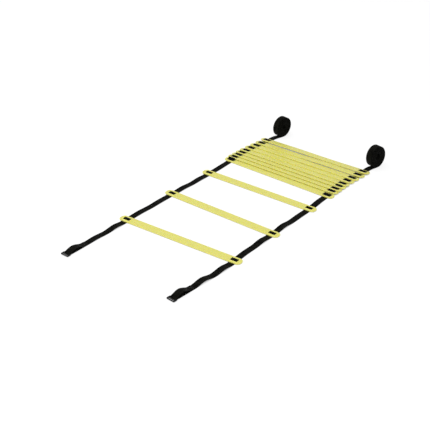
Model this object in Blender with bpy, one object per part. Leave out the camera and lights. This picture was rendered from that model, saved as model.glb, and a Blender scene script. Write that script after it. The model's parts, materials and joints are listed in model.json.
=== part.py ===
"""Agility ladder lying on the floor, three rungs spread, nine bunched and both strap tails wound up.

Twelve flat plastic rungs are threaded on two webbing straps. Each rung end has a rimmed window with a
threading bar across it: the webbing dives under the front of the rung, arches over that bar and dives
under the rear, so friction alone holds the rung where it is slid. Each strap starts at a three-bar slide,
round whose rear bar it is folded back and sewn, and ends in a tight roll of the length not laid out.

+Z is up, +Y runs from the slides to the rolls, and the origin lies on the floor under the middle.
"""
import math

import bmesh
import bpy
from mathutils import Euler, Matrix, Vector

MM = 0.001
CUT_OVERRUN = 2 * MM

# Rung: a flat plate with rounded ends, chamfered all round
RUNG_LENGTH = 508 * MM
RUNG_WIDTH = 35 * MM
RUNG_THICKNESS = 3.2 * MM
RUNG_END_FLAT = 5 * MM
RUNG_CORNER_STEPS = 6
RUNG_EDGE = 0.6 * MM

# Window in each rung end, with its raised rim and the threading bar between its two slots
WINDOW_END_WALL = 14.25 * MM
WINDOW_PLAY = 1.0 * MM
WINDOW_WIDTH = 16 * MM
RIM_WIDTH = 4.25 * MM
RIM_HEIGHT = 0.8 * MM
RIM_CORNER_RADIUS = 5 * MM
RIM_CORNER_STEPS = 3
RIM_EDGE = 0.5 * MM
THREAD_BAR_WIDTH = 8.8 * MM
THREAD_BAR_HEIGHT = 2.4 * MM
THREAD_EDGE = 0.5 * MM

# Webbing of both straps, and the gap it keeps to what it touches
WEBBING_WIDTH = 25 * MM
WEBBING_THICKNESS = 1.2 * MM
CLEARANCE = 0.3 * MM

# Where the rungs lie: spread ones by a pitch of their own, bunched ones by shares of a rung's width,
# and the last two propped up at the front by the webbing bunched under them, in degrees
SPREAD_PITCH = 230 * MM
SPREAD_PITCH_SHARES = (1.007, 0.973, 0.597)
BUNCHED_PITCH_SHARES = (0.8, 0.69, 0.77, 0.75, 0.98, 0.895, 0.998, 1.038)
RUNG_YAWS = (3.1, -0.5, 0.9, -1.5, -0.5, -0.5, -0.3, -0.4, -0.2, -0.3, 0.2, 0.0)
RUNG_SHIFT = 4 * MM
RUNG_SHIFT_SHARES = (0.35, 0.0, 0.5, -0.3, -0.7, -0.5, -0.6, -0.6, -0.3, 0.4, 1.28, 1.61)
PROPPED_TILTS = {10: 7.0, 11: 8.0}

# Arch of the webbing over each threading bar, and the one loose loop that stands higher
ARCH_RISE = 2.1 * MM
ARCH_ROUNDING = 0.5
LOOSE_ARCHES = {("left", 3): 6.5 * MM}

# Laid strap, span by span from the slide: the crests of its waves and its sway to the right
WAVE_LIFT = 1 * MM
WAVE_LIFT_SHARES = {
    "left": ((2.0, 4.6), (1.6, 1.6), (2.6, 2.2), (1.4,), (2.0,)),
    "right": ((7.0, 5.2), (1.2, 4.0), (4.6, 1.4), (1.8,), (2.0,)),
}
SPAN_SWAY = 1 * MM
SPAN_SWAY_SHARES = {"left": (0.0, 2.6, 0.4, 2.6, 0.0), "right": (-0.6, 0.6, 0.0, 0.8, 0.0)}
SPAN_STEP = 18 * MM
FOLD_STEPS = 3

# Three-bar slide at the front end of each strap
SLIDE_WIDTH = 33 * MM
SLIDE_THICKNESS = 3.6 * MM
SLIDE_CORNER_RADIUS = 3 * MM
SLIDE_CORNER_STEPS = 3
SLIDE_EDGE = 0.5 * MM
SLIDE_SLOT_LENGTH = 26.6 * MM
SLIDE_SLOT_WIDTH = 4.8 * MM
SLIDE_SLOT_RADIUS = 1.0 * MM
SLIDE_FRONT_BAR = 2.4 * MM
SLIDE_MIDDLE_BAR = 2.2 * MM
SLIDE_REAR_BAR = 2.6 * MM
SLIDE_REACH = 303 * MM
SLIDE_SHIFTS = {"left": 1 * MM, "right": -16 * MM}
SLIDE_YAWS = {"left": 0.0, "right": -4.5}

# Webbing folded back round the slide's rear bar and sewn down
LOOP_PLAY = 0.35 * MM
LOOP_STEPS = 8
FLAP_LENGTH = 84 * MM
FLAP_SEAM_SHARE = 0.86
FLAP_SWELLS = {"left": 8.2 * MM, "right": 10.4 * MM}
FLAP_SWELL_SKEW = 0.92
FLAP_SWELL_FULLNESS = 1.5
FLAP_STEPS = 14

# Wound tail of each strap
ROLL_RADIUS = 43 * MM
ROLL_PITCH = 1.68 * MM
ROLL_LOOP_POINTS = 20
ROLL_TURNS = {"left": 20, "right": 18}
ROLL_REACHES = {"left": 86.3 * MM, "right": 82.3 * MM}
ROLL_SHIFTS = {"left": 12.6 * MM, "right": 9.6 * MM}
ROLL_YAWS = {"left": -8.5, "right": -11.0}
ROLL_STRETCHES = {"left": 1.0, "right": 1.12}
ROLL_LEANS = {"left": 0.0, "right": -52.0}

YELLOW_PLASTIC = ("yellow_plastic", (0.73, 0.68, 0.15, 1.0), 0.42)
BLACK_WEBBING = ("black_webbing", (0.012, 0.012, 0.010, 1.0), 0.85)
BLACK_ACETAL = ("black_acetal", (0.014, 0.014, 0.015, 1.0), 0.4)

SIDES = {"left": -1, "right": 1}
RUNG_CORNER_RADIUS = (RUNG_WIDTH - RUNG_END_FLAT) / 2
WINDOW_LENGTH = WEBBING_WIDTH + 2 * WINDOW_PLAY
WINDOW_SPACING = RUNG_LENGTH - 2 * WINDOW_END_WALL - WINDOW_LENGTH
WEBBING_REACH = WEBBING_THICKNESS / 2 + CLEARANCE
RUNG_LIFT = WEBBING_THICKNESS + CLEARANCE
SLIDE_LENGTH = SLIDE_FRONT_BAR + SLIDE_MIDDLE_BAR + SLIDE_REAR_BAR + 2 * SLIDE_SLOT_WIDTH
BAR_RADIUS = math.hypot(SLIDE_REAR_BAR / 2, SLIDE_THICKNESS / 2 - SLIDE_EDGE)
LOOP_RADIUS = BAR_RADIUS + LOOP_PLAY + WEBBING_THICKNESS / 2
LOOP_HEIGHT = LOOP_RADIUS + WEBBING_THICKNESS / 2


def make_material(name, colour, roughness):
    """Return a Principled material."""
    material = bpy.data.materials.new(name)
    material.use_nodes = True
    shader = material.node_tree.nodes["Principled BSDF"]
    shader.inputs["Base Color"].default_value = colour
    shader.inputs["Roughness"].default_value = roughness
    return material


def add_object(name, mesh, material, parent):
    """Link a named object that shows the mesh, under its parent."""
    piece = bpy.data.objects.new(name, mesh)
    bpy.context.collection.objects.link(piece)
    if material and not mesh.materials:
        mesh.materials.append(material)
    piece.parent = parent
    return piece


def rounded_block(length, width, radius, steps, bottom, top, edge=0):
    """Return the mesh of an upright block with rounded corners and, if asked, chamfered edges."""
    shape = bmesh.new()
    bmesh.ops.create_grid(shape, x_segments=1, y_segments=1, size=0.5)
    bmesh.ops.scale(shape, vec=(length, width, 1), verts=shape.verts)
    bmesh.ops.bevel(shape, geom=shape.verts[:], offset=radius, offset_type="OFFSET", segments=steps,
                    profile=0.5, affect="VERTICES", clamp_overlap=True, material=-1)
    raised = bmesh.ops.extrude_face_region(shape, geom=shape.faces[:])
    moved = [item for item in raised["geom"] if isinstance(item, bmesh.types.BMVert)]
    bmesh.ops.translate(shape, vec=(0, 0, top - bottom), verts=moved)
    bmesh.ops.translate(shape, vec=(0, 0, bottom), verts=shape.verts)
    bmesh.ops.recalc_face_normals(shape, faces=shape.faces)
    if edge:
        level = [one for one in shape.edges if abs(one.verts[0].co.z - one.verts[1].co.z) < edge / 2]
        bmesh.ops.bevel(shape, geom=level, offset=edge, offset_type="OFFSET", segments=1,
                        profile=0.5, affect="EDGES", clamp_overlap=True, material=-1)
    return finish_mesh("block", shape)


def finish_mesh(name, shape):
    """Turn a bmesh into a mesh and free it."""
    mesh = bpy.data.meshes.new(name)
    shape.to_mesh(mesh)
    shape.free()
    return mesh


def add_cutter(mesh, location):
    """Link a hidden object that a Boolean reads."""
    cutter = add_object("cutter", mesh, None, None)
    cutter.location = location
    cutter.hide_render = True
    cutter.display_type = "WIRE"
    return cutter


def combine(piece, other, operation):
    """Add an exact Boolean of the other object to the piece."""
    modifier = piece.modifiers.new(operation.lower(), "BOOLEAN")
    modifier.operation = operation
    modifier.object = other


def applied_mesh(piece, helpers, name):
    """Return the piece's mesh as its modifiers leave it, and remove the piece and its helpers."""
    bpy.context.view_layer.update()
    evaluated = piece.evaluated_get(bpy.context.evaluated_depsgraph_get())
    mesh = bpy.data.meshes.new_from_object(evaluated)
    mesh.name = name
    for item in [piece, *helpers]:
        bpy.data.objects.remove(item)
    return mesh


def thread_cutter():
    """Return the cutter of a rung's window: a pocket above the threading bar and a slot either side of it."""
    half_window = WINDOW_WIDTH / 2
    half_bar = THREAD_BAR_WIDTH / 2
    top = RUNG_THICKNESS + RIM_HEIGHT + CUT_OVERRUN
    profile = [
        (half_window + THREAD_EDGE, -CUT_OVERRUN),
        (half_window + THREAD_EDGE, 0),
        (half_window, THREAD_EDGE),
        (half_window, top),
        (-half_window, top),
        (-half_window, THREAD_EDGE),
        (-half_window - THREAD_EDGE, 0),
        (-half_window - THREAD_EDGE, -CUT_OVERRUN),
        (-half_bar, -CUT_OVERRUN),
        (-half_bar, THREAD_BAR_HEIGHT - THREAD_EDGE),
        (-half_bar + THREAD_EDGE, THREAD_BAR_HEIGHT),
        (half_bar - THREAD_EDGE, THREAD_BAR_HEIGHT),
        (half_bar, THREAD_BAR_HEIGHT - THREAD_EDGE),
        (half_bar, -CUT_OVERRUN),
    ]
    shape = bmesh.new()
    outline = [shape.verts.new((-WINDOW_LENGTH / 2, y, z)) for y, z in profile]
    raised = bmesh.ops.extrude_face_region(shape, geom=[shape.faces.new(outline)])
    moved = [item for item in raised["geom"] if isinstance(item, bmesh.types.BMVert)]
    bmesh.ops.translate(shape, vec=(WINDOW_LENGTH, 0, 0), verts=moved)
    bmesh.ops.recalc_face_normals(shape, faces=shape.faces)
    return finish_mesh("thread_cutter", shape)


def rung_mesh(material):
    """Return the mesh that all rungs share, its underside at z = 0 and its middle at the origin."""
    plate = add_object("plate", rounded_block(RUNG_LENGTH, RUNG_WIDTH, RUNG_CORNER_RADIUS, RUNG_CORNER_STEPS,
                                              0, RUNG_THICKNESS, RUNG_EDGE), material, None)
    helpers = []
    for side in SIDES.values():
        place = (side * WINDOW_SPACING / 2, 0, 0)
        rim = rounded_block(WINDOW_LENGTH + 2 * RIM_WIDTH, WINDOW_WIDTH + 2 * RIM_WIDTH, RIM_CORNER_RADIUS,
                            RIM_CORNER_STEPS, RUNG_THICKNESS / 2, RUNG_THICKNESS + RIM_HEIGHT, RIM_EDGE)
        helpers.append(add_cutter(rim, place))
        combine(plate, helpers[-1], "UNION")
        helpers.append(add_cutter(thread_cutter(), place))
        combine(plate, helpers[-1], "DIFFERENCE")
    mesh = applied_mesh(plate, helpers, "rung")
    mesh.materials.clear()
    mesh.materials.append(material)
    return mesh


def slide_mesh(material):
    """Return the mesh of a three-bar slide, its rear bar on the X axis and its front towards -Y."""
    middle = SLIDE_REAR_BAR / 2 - SLIDE_LENGTH / 2
    plate = add_object("plate", rounded_block(SLIDE_WIDTH, SLIDE_LENGTH, SLIDE_CORNER_RADIUS, SLIDE_CORNER_STEPS,
                                              -SLIDE_THICKNESS / 2, SLIDE_THICKNESS / 2), material, None)
    plate.data.transform(Matrix.Translation((0, middle, 0)))
    rear_slot = -SLIDE_REAR_BAR / 2 - SLIDE_SLOT_WIDTH / 2
    front_slot = rear_slot - SLIDE_SLOT_WIDTH - SLIDE_MIDDLE_BAR
    half_cut = SLIDE_THICKNESS / 2 + CUT_OVERRUN
    helpers = []
    for place in (rear_slot, front_slot):
        slot = rounded_block(SLIDE_SLOT_LENGTH, SLIDE_SLOT_WIDTH, SLIDE_SLOT_RADIUS, 1, -half_cut, half_cut)
        helpers.append(add_cutter(slot, (0, place, 0)))
        combine(plate, helpers[-1], "DIFFERENCE")
    chamfer = plate.modifiers.new("chamfer", "BEVEL")
    chamfer.width = SLIDE_EDGE
    chamfer.segments = 1
    chamfer.limit_method = "ANGLE"
    chamfer.angle_limit = math.radians(60)
    mesh = applied_mesh(plate, helpers, "slide")
    mesh.materials.clear()
    mesh.materials.append(material)
    return mesh


def sweep_webbing(name, stations):
    """Return the mesh of a webbing strap carried through (centre, across, normal) stations."""
    shape = bmesh.new()
    corners = []
    for centre, across, normal in stations:
        ring = []
        for right, up in ((-0.5, -0.5), (0.5, -0.5), (0.5, 0.5), (-0.5, 0.5)):
            ring.append(centre + across * (right * WEBBING_WIDTH) + normal * (up * WEBBING_THICKNESS))
        corners.append(ring)
    ring_verts = [shape.verts.new(corner) for corner in corners[0]]
    face = shape.faces.new(ring_verts)
    for index, ring in enumerate(corners[1:]):
        before = [vert.co.copy() for vert in ring_verts]
        inner = face
        raised = bmesh.ops.extrude_face_region(shape, geom=[face])["geom"]
        fresh = [item for item in raised if isinstance(item, bmesh.types.BMVert)]
        face = next(item for item in raised if isinstance(item, bmesh.types.BMFace))
        ring_verts = [min(fresh, key=lambda vert: (vert.co - place).length) for place in before]
        for vert, corner in zip(ring_verts, ring):
            vert.co = corner
        if index:
            bmesh.ops.delete(shape, geom=[inner], context="FACES_ONLY")
    bmesh.ops.recalc_face_normals(shape, faces=shape.faces)
    return finish_mesh(name, shape)


def with_normals(points):
    """Give each (centre, across) point of a path the normal of the webbing there."""
    stations = []
    for index, (centre, across) in enumerate(points):
        ahead = points[min(index + 1, len(points) - 1)][0] - centre
        behind = centre - points[max(index - 1, 0)][0]
        along = (ahead.normalized() + behind.normalized()).normalized()
        stations.append((centre, across, along.cross(across).normalized() * -1))
    return stations


def heading_of(yaw):
    """Return the unit vector that runs rearward along the strap, for a turn in degrees about Z."""
    return Vector((-math.sin(math.radians(yaw)), math.cos(math.radians(yaw)), 0))


def across_of(yaw):
    """Return the unit vector that runs across the strap, to the right."""
    return Vector((math.cos(math.radians(yaw)), math.sin(math.radians(yaw)), 0))


def rung_stations():
    """Return the (y, pitch to the next) of every rung, before the ladder is centred."""
    pitches = [SPREAD_PITCH * share for share in SPREAD_PITCH_SHARES]
    pitches += [RUNG_WIDTH * share for share in BUNCHED_PITCH_SHARES]
    places = [0.0]
    for pitch in pitches:
        places.append(places[-1] + pitch)
    return places, pitches


def rung_tilts(pitches):
    """Return each rung's tilt: it rests on the rung that its front edge reaches over, or webbing props it up."""
    tilts = [0.0]
    for index, pitch in enumerate(pitches):
        propped = math.radians(PROPPED_TILTS.get(index + 1, 0.0))
        swing = abs(math.sin(math.radians(RUNG_YAWS[index])) - math.sin(math.radians(RUNG_YAWS[index + 1])))
        reach = pitch - swing * RUNG_LENGTH / 2 - RUNG_WIDTH / 2
        if reach >= RUNG_WIDTH / 2:
            tilts.append(propped)
            continue
        ahead = tilts[-1]
        rim_edge = WINDOW_WIDTH / 2 + RIM_WIDTH
        touches = [(RUNG_WIDTH / 2, RUNG_THICKNESS)]
        if reach < rim_edge:
            touches += [(reach, RUNG_THICKNESS + RIM_HEIGHT), (rim_edge, RUNG_THICKNESS + RIM_HEIGHT)]
        else:
            touches.append((reach, RUNG_THICKNESS))
        slopes = []
        for place, height in touches:
            seat = (RUNG_WIDTH / 2 - place) * math.sin(ahead) + height * math.cos(ahead) + CLEARANCE
            slopes.append(seat / (RUNG_WIDTH - (place - reach)))
        tilts.append(max(math.asin(max(slopes)), propped))
    return tilts


class Crossing:
    """One strap going through one rung end: where it is, and how the webbing folds there."""

    def __init__(self, index, side, places, tilts):
        self.yaw = RUNG_YAWS[index]
        self.tilt = tilts[index]
        shift = RUNG_SHIFT * RUNG_SHIFT_SHARES[index]
        middle = Vector((shift, places[index], 0))
        self.centre = middle + across_of(self.yaw) * (side * WINDOW_SPACING / 2)
        self.base = RUNG_LIFT + RUNG_WIDTH / 2 * math.sin(self.tilt)

    def world(self, u, z):
        """Return the point a distance u behind the window's middle, at height z, and the way across."""
        return self.centre + heading_of(self.yaw) * u + Vector((0, 0, z)), across_of(self.yaw)

    def on_rung(self, u, v):
        """Return (u, z) of a point given along and above the tilted rung's underside."""
        return (u * math.cos(self.tilt) + v * math.sin(self.tilt),
                self.base - u * math.sin(self.tilt) + v * math.cos(self.tilt))

    def fold(self, front_limit, loose=0):
        """Return the points of the webbing as it arches over the threading bar and dives again."""
        rise = ARCH_RISE + loose
        bulge = min(ARCH_ROUNDING * rise, THREAD_BAR_WIDTH / 2 - 2 * THREAD_EDGE)
        edge = THREAD_BAR_WIDTH / 2 - THREAD_EDGE - bulge
        over = WEBBING_REACH + THREAD_EDGE + bulge
        crown = THREAD_BAR_HEIGHT - THREAD_EDGE + rise - bulge
        window = WINDOW_WIDTH / 2 * math.cos(self.tilt)
        low_front = (max(-window, front_limit), RUNG_LIFT)
        low_rear = (window, RUNG_LIFT)
        top_front = self.on_rung(-edge, crown)
        top_rear = self.on_rung(edge, crown)
        climb = crossing_slope(low_front, top_front, WEBBING_REACH + over)
        dive = crossing_slope((-low_rear[0], low_rear[1]), (-top_rear[0], top_rear[1]), WEBBING_REACH + over)
        turns = [
            (low_front, WEBBING_REACH, 0, climb),
            (top_front, -over, climb, -self.tilt),
            (top_rear, -over, -self.tilt, -dive),
            (low_rear, WEBBING_REACH, -dive, 0),
        ]
        points = []
        for (u, z), radius, start, end in turns:
            for step in range(FOLD_STEPS + 1):
                turn = start + (end - start) * step / FOLD_STEPS
                points.append(self.world(u + radius * math.sin(turn), z - radius * math.cos(turn)))
        return points


def crossing_slope(low, high, spread):
    """Return the slope of webbing drawn under one edge and over the next, both kept clear by radii."""
    rise = math.atan2(high[1] - low[1], high[0] - low[0])
    return rise + math.asin(spread / math.dist(low, high))


def span(start, start_yaw, end, end_yaw, flat_start, flat_end, crests, sway):
    """Return the points strictly between two places: flat near its ends, with low waves between."""
    if (end - start).length < flat_start + flat_end + SPAN_STEP:
        return []
    first = start + heading_of(start_yaw) * flat_start
    last = end - heading_of(end_yaw) * flat_end
    gap = (last - first).length
    count = max(1, round(gap / SPAN_STEP))
    points = []
    for step in range(count + 1):
        t = step / count
        leave = heading_of(start_yaw) * gap
        arrive = heading_of(end_yaw) * gap
        place = first.lerp(last, t * t * (3 - 2 * t))
        place += leave * (t * (1 - t) * (1 - t)) - arrive * (t * t * (1 - t))
        slope = (last - first) * (6 * t * (1 - t)) + leave * ((1 - t) * (1 - 3 * t)) + arrive * (t * (3 * t - 2))
        across = Vector((slope.y, -slope.x, 0)).normalized()
        place += across * (SPAN_SWAY * sway * math.sin(math.pi * t))
        crest = crests[min(int(len(crests) * t), len(crests) - 1)]
        place.z += WAVE_LIFT * crest * math.sin(math.pi * len(crests) * t) ** 2
        points.append((place, across))
    if not flat_start:
        points.pop(0)
    if not flat_end:
        points.pop()
    return points


def slide_axis(name, first):
    """Return the middle of a slide's rear bar, reached forward from the first rung's crossing."""
    front = SLIDE_LENGTH - SLIDE_REAR_BAR / 2
    return first.centre + Vector((SLIDE_SHIFTS[name], front - SLIDE_REACH, LOOP_HEIGHT))


def loop_points(name, axis, yaw):
    """Return the swelling flap and the fold round the slide's rear bar, down to the floor layer."""
    sewn = WEBBING_THICKNESS * 1.5 + CLEARANCE
    crest = LOOP_HEIGHT + LOOP_RADIUS
    points = []
    for step in range(FLAP_STEPS):
        t = 1 - step / FLAP_STEPS
        slope = min(t / FLAP_SEAM_SHARE, 1)
        height = sewn + (crest - sewn) * (0.5 + 0.5 * math.cos(math.pi * slope))
        swell = math.sin(math.pi * slope ** FLAP_SWELL_SKEW) if slope < 1 else 0
        height += FLAP_SWELLS[name] * swell ** FLAP_SWELL_FULLNESS
        place = axis + heading_of(yaw) * (FLAP_LENGTH * t)
        place.z = height
        points.append((place, across_of(yaw)))
    for step in range(LOOP_STEPS + 1):
        turn = math.pi * step / LOOP_STEPS
        place = axis - heading_of(yaw) * (LOOP_RADIUS * math.sin(turn))
        place.z += LOOP_RADIUS * math.cos(turn)
        points.append((place, across_of(yaw)))
    place = axis + heading_of(yaw) * FLAP_LENGTH
    place.z = WEBBING_THICKNESS / 2
    points.append((place, across_of(yaw)))
    return points


def roll_start(name, last):
    """Return the place on the floor where a strap's laid stretch ends and its roll begins."""
    return last.centre + Vector((ROLL_SHIFTS[name], ROLL_REACHES[name], WEBBING_THICKNESS / 2))


def strap_points(name, side, places, tilts):
    """Return the laid stretch of one strap, from its sewn flap to the foot of its roll."""
    crossings = [Crossing(index, side, places, tilts) for index in range(len(places))]
    bar = (RUNG_WIDTH - WINDOW_WIDTH) / 2
    yaw = SLIDE_YAWS[name]
    points = loop_points(name, slide_axis(name, crossings[0]), yaw)
    lays = list(zip(WAVE_LIFT_SHARES[name], SPAN_SWAY_SHARES[name]))
    behind = None
    for index, crossing in enumerate(crossings):
        limit = -RUNG_WIDTH
        if behind:
            gap = (crossing.centre - behind.centre).length
            limit = RUNG_WIDTH / 2 * math.cos(behind.tilt) - gap
        folded = crossing.fold(limit, LOOSE_ARCHES.get((name, index), 0))
        lay = lays[min(index, len(lays) - 2)]
        points += span(points[-1][0], yaw, folded[0][0], crossing.yaw, bar if behind else 0, bar, *lay)
        points += folded
        yaw = crossing.yaw
        behind = crossing
    foot = roll_start(name, crossings[-1])
    foot -= heading_of(ROLL_YAWS[name]) * CLEARANCE
    points += span(points[-1][0], yaw, foot, ROLL_YAWS[name], bar, 0, *lays[-1])
    points.append((foot, across_of(ROLL_YAWS[name])))
    return points


def roll_stations(name, start):
    """Return the stations of a wound tail: it leaves the floor rearward, winds inward and may lean as an oval."""
    yaw = ROLL_YAWS[name]
    outer = ROLL_RADIUS - WEBBING_THICKNESS / 2
    lean = Matrix.Rotation(math.radians(ROLL_LEANS[name]), 2)
    oval = lean @ Matrix(((ROLL_STRETCHES[name], 0), (0, 1))) @ lean.transposed()
    lowest = math.atan2(oval[1][0], oval[1][1])
    path = []
    for step in range(ROLL_TURNS[name] * ROLL_LOOP_POINTS + 1):
        turn = 2 * math.pi * step / ROLL_LOOP_POINTS - lowest
        radius = outer - ROLL_PITCH * step / ROLL_LOOP_POINTS
        path.append(oval @ Vector((math.sin(turn), -math.cos(turn))) * radius)
    points = []
    for u, z in path:
        place = start + heading_of(yaw) * (u - path[0].x) + Vector((0, 0, z - path[0].y))
        points.append((place, across_of(yaw)))
    return with_normals(points)


def least_roll_gap(stations):
    """Return the least gap between neighbouring turns, measured from points to the facing runs."""
    half = WEBBING_THICKNESS / 2
    inner = [centre + normal * half for centre, _, normal in stations]
    outer = [centre - normal * half for centre, _, normal in stations]
    least = ROLL_RADIUS
    for index in range(len(stations) - ROLL_LOOP_POINTS - 1):
        for near in (index + ROLL_LOOP_POINTS - 1, index + ROLL_LOOP_POINTS):
            run = outer[near + 1] - outer[near]
            share = (inner[index] - outer[near]).dot(run) / run.length_squared
            share = min(max(share, 0), 1)
            least = min(least, (outer[near] + run * share - inner[index]).length)
            back = inner[index + 1] - inner[index]
            share = (outer[near + 1] - inner[index]).dot(back) / back.length_squared
            share = min(max(share, 0), 1)
            least = min(least, (inner[index] + back * share - outer[near + 1]).length)
    return least


def add_rungs(parent, places, tilts):
    """Add the twelve rungs, each on its own middle."""
    mesh = rung_mesh(make_material(*YELLOW_PLASTIC))
    for index, place in enumerate(places):
        rung = add_object(f"rung_{index + 1:02d}", mesh, None, parent)
        lift = RUNG_LIFT + RUNG_WIDTH / 2 * math.sin(tilts[index])
        rung.location = (RUNG_SHIFT * RUNG_SHIFT_SHARES[index], place, lift)
        rung.rotation_euler = Euler((-tilts[index], 0, math.radians(RUNG_YAWS[index])))


def add_strap(name, side, parent, places, tilts, material):
    """Add one strap's laid stretch and its roll."""
    points = strap_points(name, side, places, tilts)
    add_object(f"{name}_strap", sweep_webbing(f"{name}_strap", with_normals(points)), material, parent)
    last = Crossing(len(places) - 1, side, places, tilts)
    stations = roll_stations(name, roll_start(name, last))
    add_object(f"{name}_strap_roll", sweep_webbing(f"{name}_strap_roll", stations), material, parent)
    print(f"{name} roll: least gap {least_roll_gap(stations) / MM:.2f} mm")
    for part, path in (("laid", points), ("wound", stations)):
        length = sum((one[0] - two[0]).length for one, two in zip(path, path[1:]))
        print(f"{name} strap, {part}: {length:.3f} m")


def add_slides(parent, places, tilts):
    """Add both slides, held level by the stiff loops round their rear bars."""
    mesh = slide_mesh(make_material(*BLACK_ACETAL))
    for name, side in SIDES.items():
        slide = add_object(f"{name}_end_slide", mesh, None, parent)
        slide.location = slide_axis(name, Crossing(0, side, places, tilts))
        slide.rotation_euler = Euler((0, 0, math.radians(SLIDE_YAWS[name])))


def centre_on_origin(root):
    """Move the root so that the origin lies on the floor under the middle of the bounding box."""
    bpy.context.view_layer.update()
    corners = [piece.matrix_world @ vert.co for piece in root.children for vert in piece.data.vertices]
    low = [min(corner[axis] for corner in corners) for axis in range(3)]
    high = [max(corner[axis] for corner in corners) for axis in range(3)]
    root.location = (-(low[0] + high[0]) / 2, -(low[1] + high[1]) / 2, -low[2])


def build():
    """Build the whole ladder."""
    for item in list(bpy.data.objects):
        bpy.data.objects.remove(item)
    root = bpy.data.objects.new("ladder", None)
    bpy.context.collection.objects.link(root)
    places, pitches = rung_stations()
    tilts = rung_tilts(pitches)
    add_rungs(root, places, tilts)
    webbing = make_material(*BLACK_WEBBING)
    for name, side in SIDES.items():
        add_strap(name, side, root, places, tilts, webbing)
    add_slides(root, places, tilts)
    centre_on_origin(root)


build()
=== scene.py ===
"""Agility ladder on a pale floor: moulded rungs, woven straps, sewn end loops, slides and wound tails.

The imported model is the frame. Rungs and slides are taken from it, merged and given rounded edges. The
straps are woven over the same route as the model's, in pieces that meet on the rungs' threading bars, so
that each rung can slide. Lengths are in metres, +Z is up and +Y runs from the slides to the wound tails.
"""
from __future__ import annotations

import json
import logging
import math
from dataclasses import dataclass, field
from enum import Enum

import bmesh
import bpy
import numpy as np
from mathutils import Matrix, Vector, noise

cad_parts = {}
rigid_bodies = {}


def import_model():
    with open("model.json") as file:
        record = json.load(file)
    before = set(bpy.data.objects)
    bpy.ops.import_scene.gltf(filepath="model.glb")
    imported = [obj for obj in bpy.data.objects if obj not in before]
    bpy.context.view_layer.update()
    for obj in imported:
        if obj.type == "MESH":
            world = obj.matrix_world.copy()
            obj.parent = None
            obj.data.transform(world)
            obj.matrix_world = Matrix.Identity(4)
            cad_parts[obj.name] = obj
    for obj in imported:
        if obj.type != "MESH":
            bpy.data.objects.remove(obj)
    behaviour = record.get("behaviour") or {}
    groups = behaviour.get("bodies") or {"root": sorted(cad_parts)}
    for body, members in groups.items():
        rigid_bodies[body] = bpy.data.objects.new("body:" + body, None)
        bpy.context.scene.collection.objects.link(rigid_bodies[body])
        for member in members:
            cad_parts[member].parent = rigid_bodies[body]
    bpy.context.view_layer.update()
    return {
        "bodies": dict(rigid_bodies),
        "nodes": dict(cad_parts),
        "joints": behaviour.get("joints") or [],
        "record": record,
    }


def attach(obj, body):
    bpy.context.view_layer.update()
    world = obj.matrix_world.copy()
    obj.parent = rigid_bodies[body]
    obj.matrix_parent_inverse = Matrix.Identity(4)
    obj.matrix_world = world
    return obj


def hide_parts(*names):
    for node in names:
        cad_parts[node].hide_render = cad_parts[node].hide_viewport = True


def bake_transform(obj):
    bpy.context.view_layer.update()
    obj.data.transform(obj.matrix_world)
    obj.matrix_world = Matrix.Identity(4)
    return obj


LOG = logging.getLogger("agility_ladder")
MM = 0.001
STRAPS_BODY = "straps"
MIX_COLOURS = (6, 7)
MIX_RESULT = 2
MERGE_REACH = 0.002 * MM
SLICE_REACH = 0.001 * MM
Triple = tuple[float, float, float]
Socket = bpy.types.NodeSocket
Shape = bmesh.types.BMesh


class Side(Enum):
    """The two long sides of the ladder, with their sign along +X."""

    LEFT = -1
    RIGHT = 1

    @property
    def word(self) -> str:
        """Return the side's name as the frame's nodes have it."""
        return self.name.lower()


def heading_of(yaw: float) -> Vector:
    """Return the level direction rearward along a strap turned by yaw radians."""
    return Vector((-math.sin(yaw), math.cos(yaw), 0))


def across_of(yaw: float) -> Vector:
    """Return the level direction to the right across a strap turned by yaw radians."""
    return Vector((math.cos(yaw), math.sin(yaw), 0))


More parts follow.
